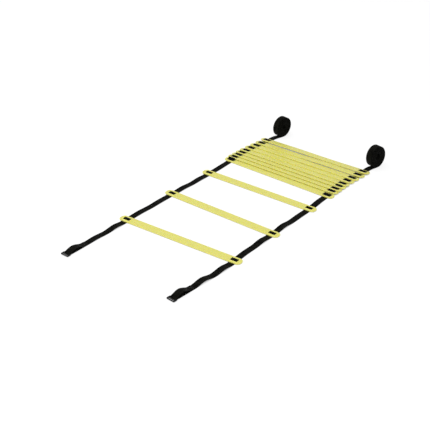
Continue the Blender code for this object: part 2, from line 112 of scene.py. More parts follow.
class NodeGraph:
    """Builds the nodes of one material round its Principled shader."""

    def __init__(self, name: str) -> None:
        """Make the material.

        Args:
            name: the material's name.
        """
        self.material = bpy.data.materials.new(name)
        self.material.use_nodes = True
        self.tree = self.material.node_tree
        self.shader = self.tree.nodes["Principled BSDF"]

    def add(self, kind: str, inputs: dict | None = None, **settings: object) -> bpy.types.Node:
        """Add a node.

        Args:
            kind: the node's type, without its ShaderNode prefix.
            inputs: input values or sockets to link, by name or number.
            **settings: the node's own attributes.

        Returns:
            The node.
        """
        node = self.tree.nodes.new("ShaderNode" + kind)
        for key, value in settings.items():
            setattr(node, key, value)
        for key, value in (inputs or {}).items():
            if isinstance(value, Socket):
                self.tree.links.new(value, node.inputs[key])
            else:
                node.inputs[key].default_value = value
        return node

    def math(self, operation: str, *terms: object) -> Socket:
        """Return the result of a Math node on numbers or sockets."""
        node = self.add("Math", dict(enumerate(terms)), operation=operation)
        return node.outputs[0]

    def noise(self, where: Socket, scale: float, detail: float = 2.0) -> Socket:
        """Return the value of a noise with a scale in waves per metre."""
        node = self.add("TexNoise", {"Vector": where, "Scale": scale, "Detail": detail})
        return node.outputs["Fac"]

    def blend(self, share: Socket, low: tuple, high: tuple) -> Socket:
        """Blend two colours.

        Args:
            share: the share of the second, from 0 to 1.
            low: the first colour, as numbers or a socket.
            high: the second colour, likewise.

        Returns:
            The blended colour.
        """
        inputs: dict = {"Factor": share}
        for key, colour in zip(MIX_COLOURS, (low, high)):
            inputs[key] = colour if isinstance(colour, Socket) else (*colour, 1.0)
        return self.add("Mix", inputs, data_type="RGBA").outputs[MIX_RESULT]

    def span(self, value: Socket, low: float, high: float) -> Socket:
        """Return a 0 to 1 value mapped to a range."""
        return self.add("MapRange", {"Value": value, "To Min": low, "To Max": high}).outputs[0]

    def bump(self, height: Socket, distance: float, strength: float = 1.0,
             under: Socket | None = None) -> Socket:
        """Turn a height into a normal.

        Args:
            height: the height, from 0 to 1.
            distance: what a height of 1 stands for in metres.
            strength: the bump's strength.
            under: another bump's normal that this one is laid over.

        Returns:
            The normal.
        """
        inputs = {"Height": height, "Distance": distance, "Strength": strength}
        if under is not None:
            inputs["Normal"] = under
        return self.add("Bump", inputs).outputs[0]

    def drive(self, **sockets: object) -> None:
        """Link sockets to, or set values on, the shader's inputs, whose names have _ for a space."""
        for key, value in sockets.items():
            target = self.shader.inputs[key.replace("_", " ")]
            if isinstance(value, Socket):
                self.tree.links.new(value, target)
            else:
                target.default_value = value


@dataclass(frozen=True)
class MouldedPlastic:
    """An injection moulded finish: fine spark-eroded grain, faint flow marks and edges lightened by a
    painted highlight.

    The faces' edge attribute is above 0 where a painted highlight lightens the colour, on rounded edges and
    rims, and below 0 where painted shade darkens it towards near black.
    """

    name: str
    colour: Triple
    edge_colour: Triple
    roughness: float
    translucency: float = 0.0
    gloss: float = 0.5
    grain_scale: float = 1700.0
    grain_height: float = 0.012 * MM
    flow_stretch: float = 9.0
    flow_scale: float = 22.0
    flow_height: float = 0.05 * MM
    flow_strength: float = 0.35
    flow_roughness: float = 0.12
    cloud_scale: float = 31.0
    deep_share: float = 0.94
    pale_share: float = 1.05
    burnish: float = 0.6
    polish: float = 0.08
    # Painted shade darkens faces marked below 0 towards this near black.
    rubbed_share: float = 0.95
    rubbed_colour: Triple = (0.010, 0.009, 0.006)
    refraction: float = 1.49
    scatter_depth: float = 2.0 * MM
    scatter_reach: Triple = (1.0, 0.8, 0.2)

    def material(self) -> bpy.types.Material:
        """Build the finish on Object coordinates.

        Returns:
            The material.
        """
        graph = NodeGraph(self.name)
        place = graph.add("TexCoord").outputs["Object"]
        along = graph.add("Mapping", {"Vector": place, "Scale": (1.0, self.flow_stretch, self.flow_stretch)})
        flow = graph.noise(along.outputs[0], self.flow_scale, 3.0)
        cloud = graph.noise(place, self.cloud_scale)
        grain = graph.noise(place, self.grain_scale)
        edge = graph.add("Attribute", attribute_name="edge").outputs["Fac"]
        deep, pale = (tuple(min(1.0, share * part) for part in self.colour)
                      for share in (self.deep_share, self.pale_share))
        drift = graph.math("MULTIPLY_ADD", flow, 0.5, graph.math("MULTIPLY", cloud, 0.5))
        body = graph.blend(drift, deep, pale)
        # Painted highlight: marked edges and rims are lightened towards the highlight colour.
        colour = graph.blend(graph.math("MULTIPLY", edge, self.burnish), body, self.edge_colour)
        # Painted shade: faces marked below 0 go towards near black.
        rubbed = graph.math("MULTIPLY", edge, -self.rubbed_share)
        colour = graph.blend(rubbed, colour, self.rubbed_colour)
        smoothest = self.roughness - self.flow_roughness / 2
        rough = graph.math("MULTIPLY_ADD", flow, self.flow_roughness, smoothest)
        rough = graph.math("MULTIPLY_ADD", edge, -self.polish, rough)
        ripple = graph.bump(flow, self.flow_height, self.flow_strength)
        graph.drive(Base_Color=colour, Roughness=rough, IOR=self.refraction, Specular_IOR_Level=self.gloss,
                    Normal=graph.bump(grain, self.grain_height, 1.0, ripple))
        if self.translucency:
            graph.drive(Subsurface_Weight=self.translucency, Subsurface_Scale=self.scatter_depth,
                        Subsurface_Radius=self.scatter_reach)
        return graph.material


@dataclass(frozen=True)
class WovenWebbing:
    """Polypropylene webbing: a herringbone of warp floats crossed by fine picks."""

    name: str = "woven_black_webbing"
    # The valley colour is painted shade in the weave's hollows.
    valley: Triple = (0.0006, 0.0006, 0.0005)
    crown: Triple = (0.0118, 0.0115, 0.0092)
    float_pitch: float = 3.4 * MM
    pick_pitch: float = 1.3 * MM
    end_pitch: float = 1.25 * MM
    arm_ends: int = 5
    rib_height: float = 0.16 * MM
    rib_strength: float = 0.9
    float_share: float = 0.55
    yarn_share: float = 0.45
    patch_scale: float = 55.0
    patch_span: tuple[float, float] = (-2.0, 4.4)
    fuzz_scale: float = 2600.0
    fuzz_height: float = 0.03 * MM
    fuzz_strength: float = 0.5
    fuzz_roughness: float = 0.18
    roughness: float = 0.5
    gloss: float = 0.02
    sheen: float = 0.002

    def material(self) -> bpy.types.Material:
        """Build the finish on the strap's own UV map, in metres along and across.

        Returns:
            The material.
        """
        graph = NodeGraph(self.name)
        place = graph.add("TexCoord").outputs["UV"]
        split = graph.add("SeparateXYZ", {"Vector": place})
        along, across = split.outputs[0], split.outputs[1]
        arm_width = self.arm_ends * self.end_pitch
        arm = graph.math("PINGPONG", graph.math("ADD", across, 10 * arm_width), arm_width)
        slant = graph.math("ADD", along, arm)
        float_wave = self.wave(graph, slant, self.float_pitch)
        pick_wave = self.wave(graph, along, self.pick_pitch)
        end_wave = self.wave(graph, across, self.end_pitch)
        yarn = graph.math("MULTIPLY", pick_wave, end_wave)
        height = graph.math("MULTIPLY_ADD", float_wave, self.float_share,
                            graph.math("MULTIPLY", yarn, self.yarn_share))
        patch = graph.noise(place, self.patch_scale, 3.0)
        fuzz = graph.noise(place, self.fuzz_scale)
        # The weave's low parts take the dark valley colour, which is painted shade; the patch noise varies
        # the tone at random.
        shade = graph.math("MULTIPLY", height, graph.span(patch, *self.patch_span))
        rough = graph.math("MULTIPLY_ADD", fuzz, self.fuzz_roughness, self.roughness)
        ribs = graph.bump(height, self.rib_height, self.rib_strength)
        graph.drive(Base_Color=graph.blend(shade, self.valley, self.crown), Roughness=rough,
                    Normal=graph.bump(fuzz, self.fuzz_height, self.fuzz_strength, ribs),
                    Specular_IOR_Level=self.gloss, Sheen_Weight=self.sheen, Sheen_Roughness=0.5)
        return graph.material

    @staticmethod
    def wave(graph: NodeGraph, where: Socket, pitch: float) -> Socket:
        """Return a wave from 0 to 1 with the pitch given."""
        turn = graph.math("MULTIPLY", where, 2 * math.pi / pitch)
        return graph.math("MULTIPLY_ADD", graph.math("SINE", turn), 0.5, 0.5)


@dataclass(frozen=True)
class SewingThread:
    """Bonded polyester thread of the stitches, a little glossier than the webbing."""

    name: str = "black_sewing_thread"
    colour: Triple = (0.022, 0.021, 0.020)
    pale_share: float = 1.8
    roughness: float = 0.42
    twist_scale: float = 3800.0
    twist_height: float = 0.04 * MM
    twist_strength: float = 0.6

    def material(self) -> bpy.types.Material:
        """Build the finish, with a fine twist.

        Returns:
            The material.
        """
        graph = NodeGraph(self.name)
        place = graph.add("TexCoord").outputs["Object"]
        twist = graph.noise(place, self.twist_scale, 1.0)
        pale = tuple(self.pale_share * part for part in self.colour)
        graph.drive(Base_Color=graph.blend(twist, self.colour, pale), Roughness=self.roughness,
                    Normal=graph.bump(twist, self.twist_height, self.twist_strength))
        return graph.material


@dataclass(frozen=True)
class Station:
    """One cross-section of a strap: its middle, the way across and the way up out of its face."""

    centre: Vector
    across: Vector
    up: Vector


def stations_of(points: list[tuple[Vector, Vector]]) -> list[Station]:
    """Give each (centre, across) point the direction out of the webbing's face.

    Args:
        points: the middle of the webbing and the way across, along its route.

    Returns:
        The stations.
    """
    found = []
    for index, (centre, across) in enumerate(points):
        ahead = points[min(index + 1, len(points) - 1)][0] - centre
        behind = centre - points[max(index - 1, 0)][0]
        along = (ahead.normalized() + behind.normalized()).normalized()
        found.append(Station(centre, across, across.cross(along).normalized()))
    return found


@dataclass
class Webbing:
    """Flat woven webbing with rounded selvedges, carried along stations."""

    width: float = 25 * MM
    thickness: float = 1.2 * MM
    selvedge: float = 2.2 * MM
    dip: float = 0.07 * MM
    edge_steps: int = 4
    face_steps: int = 6
    material: bpy.types.Material | None = None

    def section(self) -> list[tuple[float, float]]:
        """Draw the webbing's cross-section, over the top and back underneath.

        Returns:
            Its (across, up) points.
        """
        half, rise = self.width / 2, self.thickness / 2
        inner = half - rise
        flat = inner - self.selvedge
        turns = [math.pi / 2 * (1 - step / self.edge_steps) for step in range(self.edge_steps + 1)]
        over = [(inner + rise * math.sin(turn), rise * math.cos(turn)) for turn in turns]
        over.append((flat, rise))
        reach = flat - 2 * self.dip
        over += [(reach * (1 - 2 * step / self.face_steps), rise - self.dip)
                 for step in range(self.face_steps + 1)]
        over += [(-across, up) for across, up in reversed(over[:self.edge_steps + 2])]
        under = [(across, -up) for across, up in reversed(over[1:-1])]
        return over + under

    def weave(self, name: str, stations: list[Station], start: float = 0.0) -> bpy.types.Object:
        """Sweep the section along stations, closed at both ends.

        Args:
            name: the piece's name.
            stations: the cross-sections in order.
            start: the length of strap before the first station, so that the weave runs on.

        Returns:
            The piece, at the origin.
        """
        section = self.section()
        columns, rows = len(section), len(stations) - 1
        lengths = [start]
        for one, two in zip(stations, stations[1:]):
            lengths.append(lengths[-1] + (two.centre - one.centre).length)
        shape = bmesh.new()
        bmesh.ops.create_grid(shape, x_segments=columns, y_segments=rows, size=0.5)
        cloth = shape.loops.layers.uv.new("webbing")
        cells = {vert: (round((vert.co.x + 0.5) * columns) % columns, round((vert.co.y + 0.5) * rows))
                 for vert in shape.verts}
        for face in shape.faces:
            for loop in face.loops:
                column, row = cells[loop.vert]
                loop[cloth].uv = (lengths[row], section[column][0])
        for vert, (column, row) in cells.items():
            station = stations[row]
            across, up = section[column]
            vert.co = station.centre + station.across * across + station.up * up
        bmesh.ops.remove_doubles(shape, verts=shape.verts, dist=MERGE_REACH)
        bmesh.ops.holes_fill(shape, edges=[edge for edge in shape.edges if edge.is_boundary], sides=columns)
        bmesh.ops.recalc_face_normals(shape, faces=shape.faces)
        return make_piece(name, shape, self.material, sharp_angle=50)


def make_piece(name: str, shape: Shape, material: bpy.types.Material,
               sharp_angle: float) -> bpy.types.Object:
    """Turn a bmesh into a linked, smooth-shaded piece at the origin.

    Args:
        name: the piece's name.
        shape: the bmesh, which is freed.
        material: the piece's only material.
        sharp_angle: the angle in degrees past which an edge stays sharp.

    Returns:
        The piece.
    """
    mesh = bpy.data.meshes.new(name)
    shape.to_mesh(mesh)
    shape.free()
    mesh.shade_smooth()
    mesh.set_sharp_from_angle(angle=math.radians(sharp_angle))
    mesh.materials.append(material)
    piece = bpy.data.objects.new(name, mesh)
    bpy.context.scene.collection.objects.link(piece)
    return piece


def slice_at(shape: Shape, place: Vector, normal: Vector) -> None:
    """Cut a shape's faces along a plane, without parting them."""
    bmesh.ops.bisect_plane(shape, geom=shape.verts[:] + shape.edges[:] + shape.faces[:], dist=SLICE_REACH,
                           plane_co=place, plane_no=normal)


def fit(piece: bpy.types.Object, body: str = "", node: str = "") -> None:
    """Put a piece where it belongs in the frame.

    Args:
        piece: the piece.
        body: the body it rides on, if any.
        node: the node that it replaces, if any.
    """
    if body:
        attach(piece, body)
    if node:
        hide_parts(node)
    LOG.info("%s: %d faces", piece.name, len(piece.data.polygons))


def length_of(points: list) -> float:
    """Return the length of a route through (centre, across) points."""
    return sum((one[0] - two[0]).length for one, two in zip(points, points[1:]))


@dataclass(frozen=True)
class Warp:
    """How a slat bows out of true between its windows, as long thin mouldings do."""

    sag: float = 0.0
    bow: float = 0.0
    reach: float = 205 * MM
    cuts: int = 20

    def bend(self, shape: Shape, middle: Vector, across: Vector) -> None:
        """Cut the slat crosswise and lift it station by station.

        Args:
            shape: the slat's mesh, which is changed.
            middle: the middle of the slat.
            across: the way along the slat's length.
        """
        for cut in range(self.cuts + 1):
            place = middle + across * (self.reach * (2 * cut / self.cuts - 1))
            slice_at(shape, place, across)
        for vert in shape.verts:
            share = (vert.co - middle).dot(across) / self.reach
            if abs(share) < 1:
                room = 1 - share * share
                vert.co.z += self.sag * room * room + self.bow * room * math.sin(math.pi * share)


WARPS = {9: Warp(-0.5 * MM), 11: Warp(0.0, 1.6 * MM), 12: Warp(-0.25 * MM, -0.8 * MM)}


@dataclass
class MouldedSkin:
    """The skin of a moulded part: a merged copy of the frame's node with every corner rounded."""

    edge_radius: float = 0.28 * MM
    edge_steps: int = 2
    corner_angle: float = 24.0
    flat_angle: float = 0.5
    edge_wear: float = 0.35

    def take(self, node: bpy.types.Object, material: bpy.types.Material) -> bpy.types.Object:
        """Copy a node and round it.

        Args:
            node: the frame's node.
            material: the finish.

        Returns:
            The piece, which stands where the node is.
        """
        shape = bmesh.new()
        shape.from_mesh(node.data)
        bmesh.ops.remove_doubles(shape, verts=shape.verts, dist=MERGE_REACH)
        self.close_chamfers(shape)
        bmesh.ops.dissolve_limit(shape, angle_limit=math.radians(self.flat_angle), verts=shape.verts,
                                 edges=shape.edges)
        corners = [edge for edge in shape.edges
                   if edge.is_manifold and edge.calc_face_angle(0) > math.radians(self.corner_angle)]
        mark = shape.faces.layers.float.new("edge")
        made = bmesh.ops.bevel(shape, geom=corners, offset=self.edge_radius, offset_type="OFFSET",
                               segments=self.edge_steps, profile=0.5, affect="EDGES", clamp_overlap=True,
                               material=-1)
        # The rounded edges are marked for a painted highlight.
        for face in made["faces"]:
            face[mark] = self.edge_wear
        self.finish(shape, mark)
        bmesh.ops.triangulate(shape, faces=[face for face in shape.faces if len(face.verts) > 4])
        piece = make_piece(node.name + "_skin", shape, material, sharp_angle=40)
        weigh = piece.modifiers.new("even_shading", "WEIGHTED_NORMAL")
        weigh.keep_sharp = True
        return piece

    def close_chamfers(self, shape: Shape) -> None:
        """Carry walls straight on to the faces beside them, where closes() says so.

        Args:
            shape: the part's mesh, which is changed.
        """
        walls: dict[bmesh.types.BMVert, list[bmesh.types.BMVert]] = {}
        for edge in shape.edges:
            for wall, mouth in (tuple(edge.verts), tuple(edge.verts)[::-1]):
                if self.closes(wall.co, mouth.co):
                    walls.setdefault(mouth, []).append(wall)
        up = self.up()
        for mouth, found in walls.items():
            nearest = min(found, key=lambda wall: (wall.co - mouth.co).length)
            mouth.co = nearest.co + up * (mouth.co - nearest.co).dot(up)

    def up(self) -> Vector:
        """Return the way out of the part's upper face."""
        return Vector((0, 0, 1))

    def closes(self, wall: Vector, mouth: Vector) -> bool:
        """Tell whether the chamfer from a wall's corner to a face's corner goes: none does here."""
        return False

    def finish(self, shape: Shape, mark: bmesh.types.BMLayerItem) -> None:
        """Change the rounded shape and its edge marks: most parts need nothing."""


@dataclass
class SlideSkin(MouldedSkin):
    """The skin of a slide, with a front slot whose walls run straight up and down to its faces."""

    axis: Vector = field(default_factory=Vector)
    yaw: float = 0.0
    edge_radius: float = 0.15 * MM
    half_wall: float = 1.5 * MM
    slot: Triple = (-13.3 * MM, -8.1 * MM, 13.4 * MM)

    def closes(self, wall: Vector, mouth: Vector) -> bool:
        """Tell whether a chamfer is one of those round the front slot.

        Args:
            wall: its corner on the wall.
            mouth: its corner on the face.

        Returns:
            True where it goes.
        """
        front, rear, side = self.slot
        inner, outer = abs(wall.z - self.axis.z), abs(mouth.z - self.axis.z)
        reach = wall - self.axis
        along, aside = reach.dot(heading_of(self.yaw)), reach.dot(across_of(self.yaw))
        return inner < self.half_wall < outer and front < along < rear and abs(aside) < side


@dataclass(frozen=True)
class RungPlace:
    """Where one rung lies: the middle of its underside, its turn about Z and its tilt forward."""

    number: int
    middle: Vector
    yaw: float
    tilt: float

    @property
    def body(self) -> str:
        """Return the frame's body that the rung is."""
        return f"rung_{self.number:02d}"

    @property
    def up(self) -> Vector:
        """Return the way out of the rung's upper face."""
        return heading_of(self.yaw) * math.sin(self.tilt) + Vector((0, 0, math.cos(self.tilt)))

    def height_of(self, place: Vector) -> float:
        """Return a place's height above the rung's underside."""
        return (place - self.middle).dot(self.up)

    def on_rim(self, place: Vector, plate: float = 3.2 * MM, room: float = 0.3 * MM) -> bool:
        """Tell whether a place is on the raised rim of a window."""
        return self.height_of(place) > plate + room

    @classmethod
    def of(cls, number: int, node: bpy.types.Object) -> RungPlace:
        """Read a rung's place from the spread of its node's corners.

        Args:
            number: the rung's number from the slides.
            node: the frame's node.

        Returns:
            The place.
        """
        corners = np.unique(np.round([vert.co for vert in node.data.vertices], 6), axis=0)
        spread = np.linalg.eigh(np.cov((corners - corners.mean(axis=0)).T))[1]
        across, rear, up = (spread[:, index] * np.sign(spread[row, index])
                            for index, row in ((2, 0), (1, 1), (0, 2)))
        middle = np.zeros(3)
        for axis, share in ((across, 0.5), (rear, 0.5), (up, 0.0)):
            reach = corners @ axis
            middle += axis * (reach.min() + share * (reach.max() - reach.min()))
        return cls(number, Vector(middle), math.atan2(across[1], across[0]), math.asin(-rear[2]))


@dataclass
class RungSkin(MouldedSkin):
    """The skin of a rung: square below, with a painted highlight on its rims, painted shade in its windows
    and maybe a warp.
    """

    rung: RungPlace = None
    edge_radius: float = 0.2 * MM
    chamfer: float = 0.6 * MM
    windows: tuple[float, float] = (240.5 * MM, 8.5 * MM)
    inside: Triple = (212.5 * MM, 240 * MM, 8.2 * MM)
    # The height above the underside up to which painted shade darkens the windows.
    rubbed: float = 5 * MM
    wall_slant: float = 0.6

    def up(self) -> Vector:
        """Return the way out of the tilted slat's upper face."""
        return self.rung.up

    def closes(self, wall: Vector, mouth: Vector) -> bool:
        """Tell whether a chamfer is one of those round the underside's outline.

        Args:
            wall: its corner on the wall.
            mouth: its corner on the face.

        Returns:
            True where it goes.
        """
        aside, along = self.offsets(wall)
        low, high = self.rung.height_of(mouth), self.rung.height_of(wall)
        outline = aside > self.windows[0] or along > self.windows[1]
        return outline and low < self.chamfer / 2 < high < 2 * self.chamfer

    def offsets(self, place: Vector) -> tuple[float, float]:
        """Measure a place from the slat's middle.

        Args:
            place: the place.

        Returns:
            How far it is along the slat's length, and across it.
        """
        reach = place - self.rung.middle
        across = across_of(self.rung.yaw)
        return abs(reach.dot(across)), abs(reach.dot(across.cross(self.rung.up)))

    def finish(self, shape: Shape, mark: bmesh.types.BMLayerItem) -> None:
        """Paint a highlight on the rims, paint shade on the windows' bars and walls, and warp the slat.

        Args:
            shape: the rounded mesh, which is changed.
            mark: the layer of the faces' edge marks.
        """
        near, far, side = self.inside
        across = across_of(self.rung.yaw)
        slice_at(shape, self.rung.middle + self.rung.up * self.rubbed, self.rung.up)
        shape.normal_update()
        for face in shape.faces:
            middle = face.calc_center_median()
            aside, along = self.offsets(middle)
            # Faces whose middle lies over a window and below the painted shade's height, except the window's
            # end walls, get painted shade (-1); where that height is above the rims, rim faces there get it
            # too. Rim faces elsewhere get a painted highlight (1).
            if near < aside < far and along < side:
                low = self.rung.height_of(middle) < self.rubbed - SLICE_REACH
                face[mark] = -1.0 if low and abs(face.normal.dot(across)) < self.wall_slant else 0.0
            elif self.rung.on_rim(middle):
                face[mark] = 1.0
        if self.rung.number in WARPS:
            WARPS[self.rung.number].bend(shape, self.rung.middle, across)


@dataclass(frozen=True)
class Threading:
    """Sizes that the webbing's way through a rung follows, as the frame's model has them."""

    rung_width: float = 35 * MM
    window_spacing: float = 452.5 * MM
    window_width: float = 16 * MM
    bar_width: float = 8.8 * MM
    bar_height: float = 2.4 * MM
    bar_edge: float = 0.5 * MM
    arch_rise: float = 2.1 * MM
    arch_rounding: float = 0.5
    webbing_thickness: float = 1.2 * MM
    clearance: float = 0.3 * MM
    bend_steps: int = 7

    @property
    def lift(self) -> float:
        """Return the height of a level rung's underside."""
        return self.webbing_thickness + self.clearance

    @property
    def reach(self) -> float:
        """Return the distance from a turned edge to the middle of the webbing."""
        return self.webbing_thickness / 2 + self.clearance


class Crossing:
    """One strap going through one rung end, over its threading bar."""

    def __init__(self, rung: RungPlace, side: Side, sizes: Threading, loose: float = 0.0) -> None:
        """Place the crossing.

        Args:
            rung: the rung.
            side: the strap's side.
            sizes: the threading's sizes.
            loose: how much higher than its neighbours the webbing arches here.
        """
        self.rung = rung
        self.sizes = sizes
        self.rise = sizes.arch_rise + loose
        self.bulge = min(sizes.arch_rounding * self.rise, sizes.bar_width / 2 - 2 * sizes.bar_edge)
        window = rung.middle + across_of(rung.yaw) * (side.value * sizes.window_spacing / 2)
        self.centre = Vector((window.x, window.y, 0))

    def at(self, run: float, height: float) -> tuple[Vector, Vector]:
        """Return the point a run behind the window's middle, at a height, and the way across."""
        place = self.centre + heading_of(self.rung.yaw) * run + Vector((0, 0, height))
        return place, across_of(self.rung.yaw)

    def on_bar(self, run: float) -> tuple[float, float]:
        """Find the point over the bar that the arch turns about, on the tilted rung.

        Args:
            run: how far behind the bar's middle it is, along the rung.

        Returns:
            Its (run, height).
        """
        rise = self.sizes.bar_height - self.sizes.bar_edge + self.rise - self.bulge
        tilt = self.rung.tilt
        return (run * math.cos(tilt) + rise * math.sin(tilt),
                self.rung.middle.z - run * math.sin(tilt) + rise * math.cos(tilt))

    def slope(self, low: tuple[float, float], high: tuple[float, float]) -> float:
        """Find the slope of webbing drawn under a low edge and over a high one.

        Args:
            low: the low edge's (run, height).
            high: the high edge's.

        Returns:
            The slope in radians.
        """
        spread = 2 * self.sizes.reach + self.sizes.bar_edge + self.bulge
        rise = math.atan2(high[1] - low[1], high[0] - low[0])
        return rise + math.asin(spread / math.dist(low, high))

    def halves(self, front_limit: float) -> tuple[list, list]:
        """Return the points that climb to the top of the bar and those that dive from it.

        Args:
            front_limit: how far forward the low bend may lie, negative ahead of the window's middle.

        Returns:
            The climbing and the diving points, which share the one on top.
        """
        sizes = self.sizes
        tilt = self.rung.tilt
        edge = sizes.bar_width / 2 - sizes.bar_edge - self.bulge
        over = sizes.reach + sizes.bar_edge + self.bulge
        window = sizes.window_width / 2 * math.cos(tilt)
        low_front, low_rear = (max(-window, front_limit), sizes.lift), (window, sizes.lift)
        top_front, top_rear = self.on_bar(-edge), self.on_bar(edge)
        climb = self.slope(low_front, top_front)
        dive = self.slope((-low_rear[0], low_rear[1]), (-top_rear[0], top_rear[1]))
        climbing = self.bend(low_front, sizes.reach, 0, climb) + self.bend(top_front, -over, climb, -tilt)
        diving = self.bend(top_rear, -over, -tilt, -dive) + self.bend(low_rear, sizes.reach, -dive, 0)
        top = (climbing[-1][0].lerp(diving[0][0], 0.5), climbing[-1][1])
        return climbing + [top], [top] + diving

    def bend(self, pivot: tuple[float, float], radius: float, start: float, end: float) -> list:
        """Turn the webbing about an edge.

        Args:
            pivot: the edge's (run, height).
            radius: the turn's radius, negative over the top.
            start: the slope before it in radians.
            end: the slope after it.

        Returns:
            The (centre, across) points.
        """
        points = []
        for step in range(self.sizes.bend_steps + 1):
            turn = start + (end - start) * step / self.sizes.bend_steps
            points.append(self.at(pivot[0] + radius * math.sin(turn), pivot[1] - radius * math.cos(turn)))
        return points


@dataclass(frozen=True)
class EndLoop:
    """The strap's end: folded round the slide's rear bar and sewn back on itself."""

    swell: float
    bar_depth: float = 2.6 * MM
    bar_thickness: float = 3.6 * MM
    bar_edge: float = 0.5 * MM
    play: float = 0.35 * MM
    flap: float = 84 * MM
    seam_share: float = 0.86
    swell_skew: float = 0.92
    swell_fullness: float = 1.5
    flap_steps: int = 42
    loop_steps: int = 22

    def radius(self, sizes: Threading) -> float:
        """Return the loop's radius, to the middle of the webbing."""
        bar = math.hypot(self.bar_depth / 2, self.bar_thickness / 2 - self.bar_edge)
        return bar + self.play + sizes.webbing_thickness / 2

    def sewn_height(self, sizes: Threading) -> float:
        """Return the height of the flap's middle where it is sewn down."""
        return sizes.webbing_thickness * 1.5 + sizes.clearance

    def points(self, axis: Vector, yaw: float, sizes: Threading) -> list:
        """Return the points from the flap's cut end, round the bar and back along the floor.

        Args:
            axis: the middle of the slide's rear bar.
            yaw: the strap's turn about Z in radians.
            sizes: the webbing's sizes.

        Returns:
            The (centre, across) points.
        """
        radius = self.radius(sizes)
        low, high = self.sewn_height(sizes), axis.z + radius
        across = across_of(yaw)
        points = []
        for step in range(self.flap_steps):
            share = 1 - step / self.flap_steps
            slope = min(share / self.seam_share, 1)
            height = low + (high - low) * (0.5 + 0.5 * math.cos(math.pi * slope))
            crown = math.sin(math.pi * slope ** self.swell_skew) if slope < 1 else 0.0
            height += self.swell * crown ** self.swell_fullness
            place = axis + heading_of(yaw) * (self.flap * share)
            points.append((Vector((place.x, place.y, height)), across))
        for step in range(self.loop_steps + 1):
            turn = math.pi * step / self.loop_steps
            place = axis - heading_of(yaw) * (radius * math.sin(turn))
            points.append((place + Vector((0, 0, radius * math.cos(turn))), across))
        place = axis + heading_of(yaw) * self.flap
        points.append((Vector((place.x, place.y, sizes.webbing_thickness / 2)), across))
        return points


@dataclass(frozen=True)
class Lay:
    """How one span of webbing lies between two rungs: the crests of its waves and its sway to the right."""

    crests: tuple[float, ...]
    sway: float = 0.0
    step: float = 3 * MM

    def span(self, start: Vector, start_yaw: float, end: Vector, end_yaw: float,
             flat_start: float, flat_end: float) -> list:
        """Return the points between two places, flat near its ends and waved between.

        Args:
            start: the place behind.
            start_yaw: the strap's turn there in radians.
            end: the place ahead.
            end_yaw: the strap's turn there in radians.
            flat_start: the flat length after the start.
            flat_end: the flat length before the end.

        Returns:
            The (centre, across) points, without the places themselves.
        """
        if (end - start).length < flat_start + flat_end + self.step:
            return []
        first = start + heading_of(start_yaw) * flat_start
        last = end - heading_of(end_yaw) * flat_end
        gap = (last - first).length
        count = max(2, round(gap / self.step))
        waves = len(self.crests)
        leave, arrive = heading_of(start_yaw) * gap, heading_of(end_yaw) * gap
        points = []
        for index in range(0 if flat_start else 1, count + (1 if flat_end else 0)):
            t = index / count
            place = first.lerp(last, t * t * (3 - 2 * t))
            place += leave * (t * (1 - t) * (1 - t)) - arrive * (t * t * (1 - t))
            slope = (last - first) * (6 * t * (1 - t)) + leave * ((1 - t) * (1 - 3 * t))
            slope += arrive * (t * (3 * t - 2))
            across = Vector((slope.y, -slope.x, 0)).normalized()
            place += across * (self.sway * math.sin(math.pi * t))
            crest = self.crests[min(int(waves * t), waves - 1)]
            place.z += crest * math.sin(math.pi * waves * t) ** 2
            points.append((place, across))
        return points


@dataclass(frozen=True)
class TailPlace:
    """Where and how one strap's tail is wound, as the frame's model has it."""

    reach: float
    shift: float
    yaw: float
    turns: int
    stretch: float = 1.0
    lean: float = 0.0


LAYS = {
    Side.LEFT: (Lay((2.0 * MM, 4.6 * MM)), Lay((1.6 * MM, 1.6 * MM), 2.6 * MM),
                Lay((2.6 * MM, 2.2 * MM), 0.4 * MM), Lay((1.4 * MM,), 2.6 * MM), Lay((2.0 * MM,))),
    Side.RIGHT: (Lay((7.0 * MM, 5.2 * MM), -0.6 * MM), Lay((1.2 * MM, 4.0 * MM), 0.6 * MM),
                 Lay((4.6 * MM, 1.4 * MM)), Lay((1.8 * MM,), 0.8 * MM), Lay((2.0 * MM,))),
}
LOOPS = {Side.LEFT: EndLoop(8.2 * MM), Side.RIGHT: EndLoop(10.4 * MM)}
LOOSE_ARCHES = {(side, number): 1.4 * MM for side in Side for number in range(4, 13)}
LOOSE_ARCHES[Side.LEFT, 4] = 6.5 * MM
TAILS = {
    Side.LEFT: TailPlace(86.3 * MM, 12.6 * MM, math.radians(-8.5), 20),
    Side.RIGHT: TailPlace(82.3 * MM, 9.6 * MM, math.radians(-11.0), 18, 1.12, math.radians(-52.0)),
}


@dataclass
class StrapStretch:
    """One piece of a laid strap and the bodies that its two ends follow."""

    name: str
    points: list
    behind: str
    ahead: str
    blend_from: Vector
    blend_to: Vector


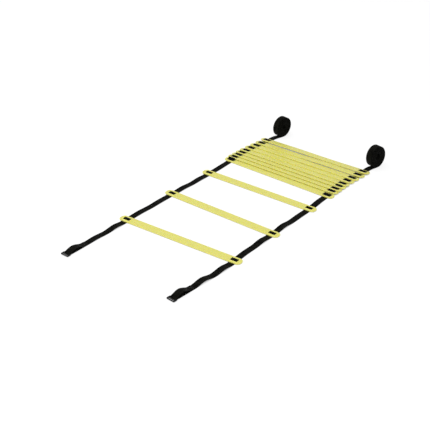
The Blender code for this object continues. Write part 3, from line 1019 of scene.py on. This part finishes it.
@dataclass
class LaidStrap:
    """One strap from its sewn loop to the foot of its wound tail, in pieces that meet on the bars."""

    side: Side
    rungs: list[RungPlace]
    axis: Vector
    yaw: float
    webbing: Webbing
    sizes: Threading = field(default_factory=Threading)
    spread_rungs: int = 3
    tuck: float = 6 * MM

    def foot(self) -> Vector:
        """Find the place on the floor where the wound tail begins.

        Returns:
            The place.
        """
        tail = TAILS[self.side]
        last = Crossing(self.rungs[-1], self.side, self.sizes)
        return last.centre + Vector((tail.shift, tail.reach, self.sizes.webbing_thickness / 2))

    def stretches(self) -> list[StrapStretch]:
        """Lay the strap out.

        Returns:
            Its pieces, from the sewn loop on.
        """
        sizes = self.sizes
        bar = (sizes.rung_width - sizes.window_width) / 2
        edge = sizes.rung_width / 2
        lays = LAYS[self.side]
        crossings = [Crossing(rung, self.side, sizes, LOOSE_ARCHES.get((self.side, rung.number), 0.0))
                     for rung in self.rungs]
        path = LOOPS[self.side].points(self.axis, self.yaw, sizes)
        flap_end = path[-1][0] + heading_of(self.yaw) * bar
        found: list[StrapStretch] = []
        behind = None
        for crossing in crossings:
            rung = crossing.rung
            limit = -sizes.rung_width
            if behind:
                gap = (crossing.centre - behind.centre).length
                limit = edge * math.cos(behind.rung.tilt) - gap
            climbing, diving = crossing.halves(limit)
            start_yaw = behind.rung.yaw if behind else self.yaw
            lay = lays[min(rung.number, len(lays) - 1) - 1]
            laid = lay.span(path[-1][0], start_yaw, climbing[0][0], rung.yaw, bar if behind else 0, bar)
            whole = path + laid + climbing
            if behind is None:
                front = crossing.at(-edge, 0)[0]
                found.append(self.stretch(0, whole, STRAPS_BODY, rung.body, flap_end, front))
            elif rung.number <= self.spread_rungs + 1:
                found += self.split(behind, crossing, whole, len(path) + len(laid) // 2)
            else:
                found.append(self.stretch(behind.rung.number, whole, behind.rung.body, rung.body,
                                          path[-1][0], climbing[0][0]))
            path = diving
            behind = crossing
        tail_yaw = TAILS[self.side].yaw
        foot = self.foot()
        laid = lays[-1].span(path[-1][0], behind.rung.yaw, foot, tail_yaw, bar, 0)
        path = path + laid + [(foot, across_of(tail_yaw))]
        found.append(self.stretch(behind.rung.number, path, behind.rung.body, STRAPS_BODY,
                                  behind.at(edge, 0)[0], foot - heading_of(tail_yaw) * bar))
        return found

    def split(self, behind: Crossing, crossing: Crossing, whole: list, cut: int) -> list[StrapStretch]:
        """Part the webbing between two rungs that slide by themselves.

        Args:
            behind: the crossing nearer the slides.
            crossing: the next crossing.
            whole: the points from one bar to the other.
            cut: the index of the middle one of those on the floor.

        Returns:
            The two pieces.
        """
        number = behind.rung.number
        edge = self.sizes.rung_width / 2
        rear, front = behind.at(edge, 0)[0], crossing.at(-edge, 0)[0]
        if crossing.rung.number == self.spread_rungs + 1:
            meet = front + heading_of(crossing.rung.yaw) * self.tuck
            cut = min(range(len(whole)), key=lambda index: (whole[index][0] - meet).length)
            first = self.stretch(number, whole[:cut + 1], behind.rung.body, STRAPS_BODY, rear, whole[cut][0])
            second = self.stretch(number, whole[cut:], crossing.rung.body, "", front, front)
        else:
            meet = whole[cut][0]
            first = self.stretch(number, whole[:cut + 1], behind.rung.body, STRAPS_BODY, rear, meet)
            second = self.stretch(number, whole[cut:], STRAPS_BODY, crossing.rung.body, meet, front)
        first.name += "_near"
        second.name += "_far"
        return [first, second]

    def stretch(self, number: int, points: list, behind: str, ahead: str, blend_from: Vector,
                blend_to: Vector) -> StrapStretch:
        """Return one piece, named by the rung that it follows."""
        name = f"{self.side.word}_strap_webbing_{number:02d}"
        return StrapStretch(name, points, behind, ahead, blend_from, blend_to)

    def build(self) -> float:
        """Weave every piece and put it on its bodies.

        Returns:
            The strap's laid length.
        """
        length = 0.0
        for part in self.stretches():
            piece = self.webbing.weave(part.name, stations_of(part.points), length)
            length += length_of(part.points)
            fit(piece, "" if part.ahead else part.behind, f"{self.side.word}_strap")
            if part.ahead:
                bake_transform(piece)
        LOG.info("%s strap laid: %.3f m", self.side.word, length)
        return length


@dataclass
class WoundTail:
    """The rest of a strap, wound up and stood on its edge."""

    side: Side
    start: Vector
    webbing: Webbing
    radius: float = 43 * MM
    pitch: float = 1.68 * MM
    steps: int = 60
    stray: float = 0.55 * MM
    stray_pace: float = 0.9
    stray_seed: tuple[float, float] = (3.1, 0.4)

    def points(self) -> list:
        """Wind the tail up, from the floor inwards.

        Returns:
            The (centre, across) points.
        """
        tail = TAILS[self.side]
        outer = self.radius - self.webbing.thickness / 2
        lean = Matrix.Rotation(tail.lean, 2)
        oval = lean @ Matrix(((tail.stretch, 0), (0, 1))) @ lean.transposed()
        lowest = math.atan2(oval[1][0], oval[1][1])
        path = []
        for step in range(tail.turns * self.steps + 1):
            turn = 2 * math.pi * step / self.steps - lowest
            radius = outer - self.pitch * step / self.steps
            path.append(oval @ Vector((math.sin(turn), -math.cos(turn))) * radius)
        across = across_of(tail.yaw)
        points = []
        for step, (run, rise) in enumerate(path):
            wound = step / self.steps
            spot = (wound * self.stray_pace, self.side.value * self.stray_seed[0], self.stray_seed[1])
            sway = self.stray * noise.noise(spot) * min(1.0, wound)
            place = self.start + heading_of(tail.yaw) * (run - path[0].x) + Vector((0, 0, rise - path[0].y))
            points.append((place + across * sway, across))
        return points

    def build(self, length: float) -> None:
        """Weave the winding.

        Args:
            length: the strap's length before it.
        """
        points = self.points()
        piece = self.webbing.weave(f"{self.side.word}_tail_winding", stations_of(points), length)
        fit(piece, STRAPS_BODY, f"{self.side.word}_strap_roll")
        LOG.info("%s strap wound: %.3f m", self.side.word, length_of(points))


@dataclass
class BoxStitch:
    """The sewn box with its cross that holds the flap down."""

    side: Side
    axis: Vector
    yaw: float
    loop: EndLoop
    sizes: Threading
    material: bpy.types.Material
    near: float = 73.6 * MM
    far: float = 82.2 * MM
    half_width: float = 9.5 * MM
    pitch: float = 2.7 * MM
    stitch: Triple = (2.1 * MM, 0.55 * MM, 0.42 * MM)

    def runs(self) -> list[tuple[Vector, Vector]]:
        """Draw the seam's straight runs.

        Returns:
            Their ends, as pairs of (along, across) corners.
        """
        corners = [Vector((along, sign * self.half_width))
                   for along, sign in ((self.near, -1), (self.far, -1), (self.far, 1), (self.near, 1))]
        order = ((0, 1), (1, 2), (2, 3), (3, 0), (0, 2), (1, 3))
        return [(corners[one], corners[two]) for one, two in order]

    def build(self) -> None:
        """Sew the stitches on the flap's top and on the strap's underside."""
        shape = bmesh.new()
        top = self.loop.sewn_height(self.sizes) + self.sizes.webbing_thickness / 2
        for start, end in self.runs():
            run = end - start
            count = max(1, round(run.length / self.pitch))
            turn = math.atan2(run.y, run.x)
            for index in range(count):
                middle = start.lerp(end, (index + 0.5) / count)
                for height in (top, self.stitch[2] / 2):
                    self.add_stitch(shape, middle, turn, height)
        piece = make_piece(f"{self.side.word}_flap_stitches", shape, self.material, sharp_angle=60)
        fit(piece, STRAPS_BODY)

    def add_stitch(self, shape: Shape, middle: Vector, turn: float, height: float) -> None:
        """Add one stitch, a flattened bead of thread.

        Args:
            shape: the bmesh that takes it.
            middle: its place along and across the strap.
            turn: its turn from the strap's direction, in radians.
            height: the height of the face that it lies in.
        """
        verts = bmesh.ops.create_uvsphere(shape, u_segments=8, v_segments=5, radius=0.5)["verts"]
        bmesh.ops.scale(shape, vec=self.stitch, verts=verts)
        frame = Matrix.Rotation(self.yaw + math.pi / 2 - turn, 4, "Z")
        bmesh.ops.transform(shape, matrix=frame, verts=verts)
        place = self.axis + heading_of(self.yaw) * middle.x + across_of(self.yaw) * middle.y
        bmesh.ops.translate(shape, vec=Vector((place.x, place.y, height)), verts=verts)


@dataclass(frozen=True)
class Studio:
    """Pale floor, soft lamps and the camera at the photograph's angle."""

    eye: Triple = (1.6580, -2.2809, 1.5552)
    azimuth: float = 37.605
    elevation: float = 29.625
    roll: float = 0.794
    lens: float = 74.22
    sensor: float = 36.0
    floor_size: float = 30.0
    floor_colour: float = 0.8
    floor_shade: float = 0.3
    floor_glow: float = 0.76
    nook_size: float = 20 * MM
    nook_glow: tuple[float, float] = (0.15, 1.9)
    sky: float = 0.72
    key_power: float = 44.0
    key_size: float = 4.0
    key_place: Triple = (-0.6, -1.2, 3.0)
    fill_power: float = 16.0
    fill_size: float = 3.0
    fill_place: Triple = (1.6, -3.4, 0.9)

    def build(self) -> None:
        """Set up the floor, world, lamps and camera."""
        self.add_floor()
        self.add_world()
        self.add_lamp("overhead_softbox", self.key_place, self.key_size, self.key_power)
        self.add_lamp("front_softbox", self.fill_place, self.fill_size, self.fill_power)
        self.add_camera()
        bpy.context.scene.view_settings.view_transform = "Standard"

    def add_floor(self) -> None:
        """Lay the floor: it throws light back as pale paper does, and shows white with a faint shadow and
        with painted shade in narrow places.
        """
        shape = bmesh.new()
        bmesh.ops.create_grid(shape, x_segments=1, y_segments=1, size=self.floor_size / 2)
        graph = NodeGraph("pale_floor")
        path = graph.add("LightPath").outputs
        seen = graph.math("MAXIMUM", path["Is Camera Ray"], path["Is Glossy Ray"])
        seen = graph.math("MAXIMUM", seen, path["Is Transmission Ray"])
        shade = graph.blend(path["Is Camera Ray"], (self.floor_colour,) * 3, (self.floor_shade,) * 3)
        # An ambient occlusion node dims the floor's glow in narrow places under the part: painted shade.
        nook = graph.add("AmbientOcclusion", {"Distance": self.nook_size}).outputs["AO"]
        glow = graph.math("MULTIPLY", seen, graph.math("MINIMUM", graph.span(nook, *self.nook_glow), 1.0))
        graph.drive(Base_Color=shade, Roughness=0.9, Specular_IOR_Level=0.0,
                    Emission_Color=(1.0, 1.0, 1.0, 1.0),
                    Emission_Strength=graph.math("MULTIPLY", glow, self.floor_glow))
        floor = make_piece("floor", shape, graph.material, sharp_angle=30)

    def add_world(self) -> None:
        """Light the scene evenly from all round, and show white behind it."""
        world = bpy.data.worlds.new("studio")
        world.use_nodes = True
        tree = world.node_tree
        sky = tree.nodes["Background"]
        path = tree.nodes.new("ShaderNodeLightPath")
        white = tree.nodes.new("ShaderNodeMath")
        white.operation = "MAXIMUM"
        tree.links.new(path.outputs["Is Camera Ray"], white.inputs[0])
        white.inputs[1].default_value = self.sky
        tree.links.new(white.outputs[0], sky.inputs["Strength"])
        sky.inputs["Color"].default_value = (1.0, 1.0, 1.0, 1.0)
        bpy.context.scene.world = world

    def add_lamp(self, name: str, place: Triple, size: float, power: float) -> None:
        """Add a square soft lamp that faces the ladder.

        Args:
            name: the lamp's name.
            place: its place.
            size: its side.
            power: its power in watts.
        """
        light = bpy.data.lights.new(name, "AREA")
        light.shape = "SQUARE"
        light.size = size
        light.energy = power
        lamp = bpy.data.objects.new(name, light)
        lamp.location = place
        lamp.rotation_euler = Vector(place).to_track_quat("Z", "Y").to_euler()
        bpy.context.scene.collection.objects.link(lamp)

    def add_camera(self) -> None:
        """Put the camera where the photograph was taken from."""
        azimuth, elevation = math.radians(self.azimuth), math.radians(self.elevation)
        back = Vector((math.sin(azimuth) * math.cos(elevation), -math.cos(azimuth) * math.cos(elevation),
                       math.sin(elevation)))
        right = across_of(azimuth)
        up = back.cross(right)
        turn = Matrix.Rotation(math.radians(self.roll), 3, back)
        data = bpy.data.cameras.new("camera")
        data.lens = self.lens
        data.sensor_width = self.sensor
        data.sensor_fit = "HORIZONTAL"
        camera = bpy.data.objects.new("camera", data)
        axes = Matrix((turn @ right, turn @ up, back)).transposed()
        camera.matrix_world = Matrix.Translation(self.eye) @ axes.to_4x4()
        bpy.context.scene.collection.objects.link(camera)
        bpy.context.scene.camera = camera


@dataclass
class AgilityLadder:
    """The whole ladder, dressed over the frame."""

    frame: dict
    rung_count: int = 12
    # Painted shade in the spread rungs' windows reaches only this high.
    spread_rubbed: float = 4.0 * MM
    # Each finish's second colour is its painted highlight on edges and rims.
    rung_finish: MouldedPlastic = MouldedPlastic("moulded_yellow_plastic", (0.775, 0.735, 0.165),
                                                 (0.95, 0.93, 0.32), 0.42, 0.4)
    slide_finish: MouldedPlastic = MouldedPlastic("moulded_black_plastic", (0.006, 0.006, 0.0065),
                                                  (0.014, 0.014, 0.015), 0.42, gloss=0.15)

    def build(self) -> None:
        """Dress the rungs, the slides and both straps."""
        nodes = self.frame["nodes"]
        places = self.add_rungs(nodes)
        dark = self.slide_finish.material()
        webbing = Webbing(material=WovenWebbing().material())
        thread = SewingThread().material()
        for side in Side:
            hinge = next(one for one in self.frame["joints"] if one["name"] == f"{side.word}_slide_swing")
            axis = Vector(hinge["pos_m"])
            yaw = math.atan2(-hinge["axis"][1], -hinge["axis"][0])
            skin = SlideSkin(axis=axis, yaw=yaw).take(nodes[f"{side.word}_end_slide"], dark)
            fit(skin, f"{side.word}_slide", f"{side.word}_end_slide")
            strap = LaidStrap(side, places, axis, yaw, webbing)
            length = strap.build()
            WoundTail(side, strap.foot(), webbing).build(length)
            BoxStitch(side, axis, yaw, LOOPS[side], strap.sizes, thread).build()

    def add_rungs(self, nodes: dict) -> list[RungPlace]:
        """Dress every rung.

        Args:
            nodes: the frame's nodes by name.

        Returns:
            The rungs' places, from the slides on.
        """
        yellow = self.rung_finish.material()
        places = []
        for number in range(1, self.rung_count + 1):
            node = nodes[f"rung_{number:02d}"]
            places.append(RungPlace.of(number, node))
            rubbed = self.spread_rubbed if number <= LaidStrap.spread_rungs else RungSkin.rubbed
            skin = RungSkin(rung=places[-1], rubbed=rubbed).take(node, yellow)
            fit(skin, places[-1].body, node.name)
        return places


def main() -> None:
    """Load the frame, dress the ladder and set up the studio."""
    logging.basicConfig(level=logging.INFO, format="%(message)s")
    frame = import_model()
    AgilityLadder(frame).build()
    Studio().build()


if __name__ == "__main__":
    main()
